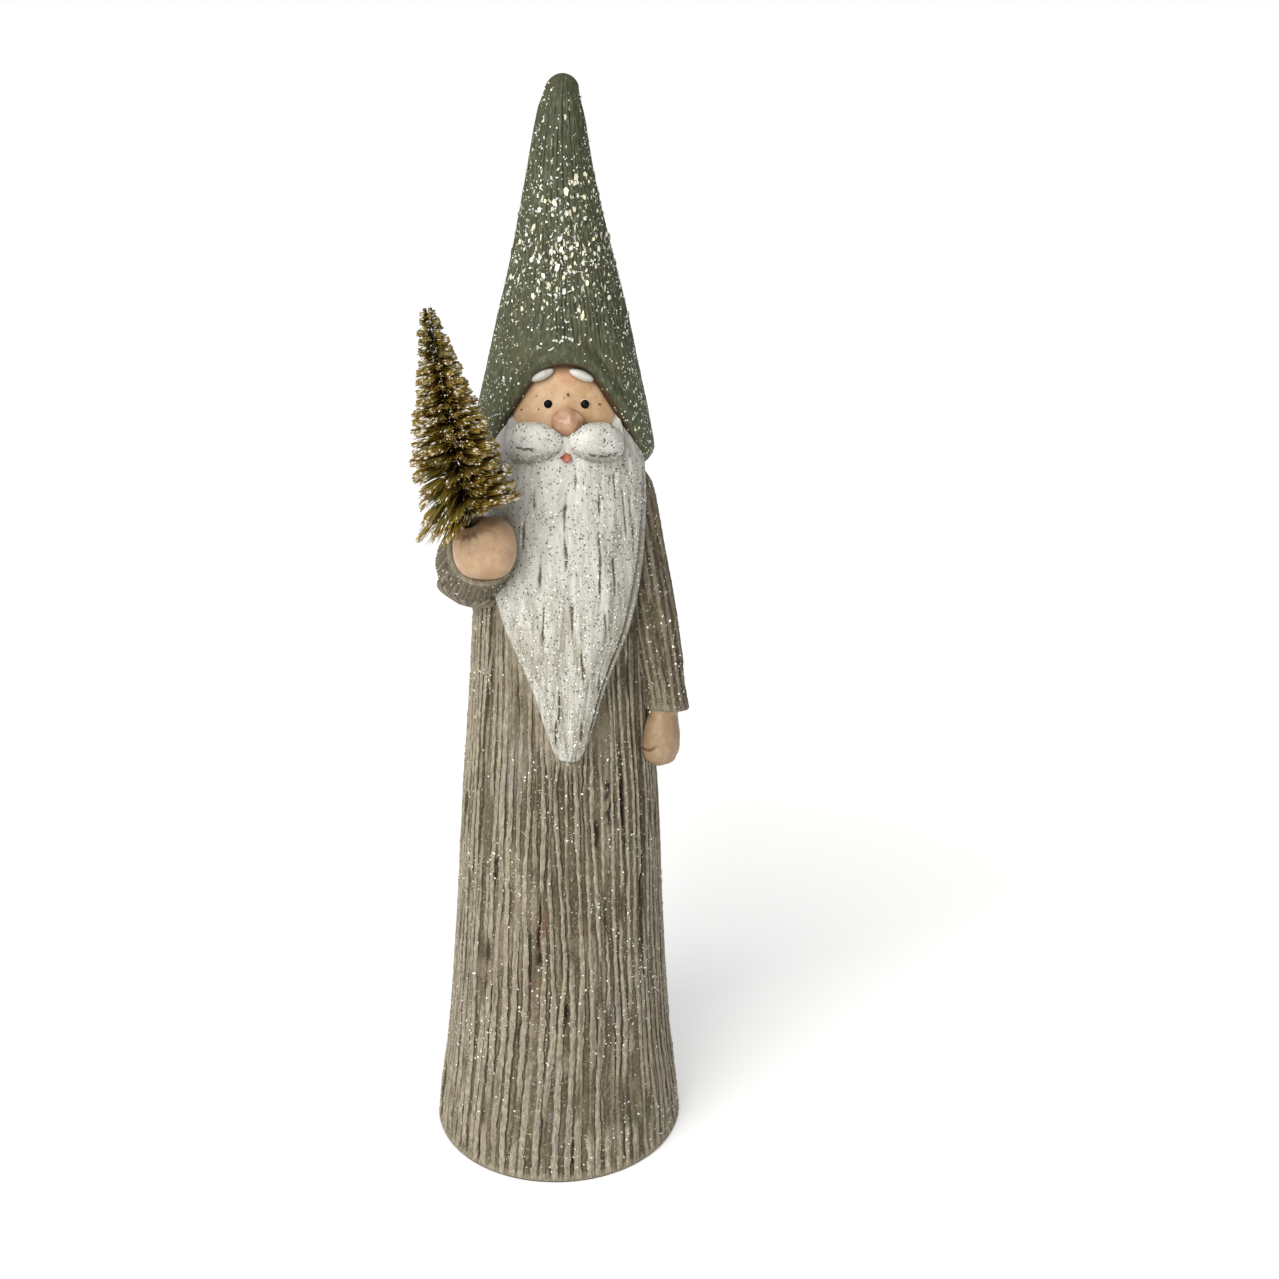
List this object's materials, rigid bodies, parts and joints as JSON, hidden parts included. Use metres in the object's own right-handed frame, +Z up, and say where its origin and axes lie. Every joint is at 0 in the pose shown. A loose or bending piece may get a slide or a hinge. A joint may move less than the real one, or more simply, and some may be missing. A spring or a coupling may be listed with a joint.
{
  "type": "tomte gnome figurine",
  "caption": "Tall standing gnome figure with a pointed hood-like hat, long beard and ribbed robe, holding a small bottle-brush tree that lifts out of its fist.",
  "frame": {"origin": "middle of the figure's flat foot, on the surface it stands on", "axes": "+Z up along the figure to the tip of the hat, -Y the way the face looks, +X to the figure's left hand"},
  "size_m": [0.0911, 0.0996, 0.35],
  "materials": {
    "robe": "matte",
    "hat": "matte",
    "skin": "satin",
    "beard": "matte",
    "mouth": "matte",
    "eye": "gloss",
    "plug": "matte",
    "wire": "satin",
    "bristle": "matte"
  },
  "bodies": {
    "figure": {"robe_shell": "robe", "base_disc": "robe", "head": "skin", "hat": "hat", "beard": "beard", "nose": "skin", "moustache_left": "beard", "moustache_right": "beard", "mouth": "mouth", "eye_left": "eye", "eyebrow_left": "beard", "eye_right": "eye", "eyebrow_right": "beard", "sleeve_left": "robe", "hand_left": "skin", "sleeve_right": "robe", "hand_right": "skin"},
    "plug": {"stem_plug": "plug"},
    "tree": {"tree_wire_a": "wire", "tree_wire_b": "wire", "tree_brush": "bristle"}
  },
  "joints": [
    {"name": "tree_pull", "type": "slide", "parent": "figure", "child": "plug", "axis": [-0.1785, -0.0326, 0.9834], "range_m": [0, 0.03]},
    {"name": "tree_spin", "type": "hinge", "parent": "plug", "child": "tree", "pos_m": [-0.0266, -0.0375, 0.2085], "axis": [-0.1785, -0.0326, 0.9834], "continuous": true}
  ]
}
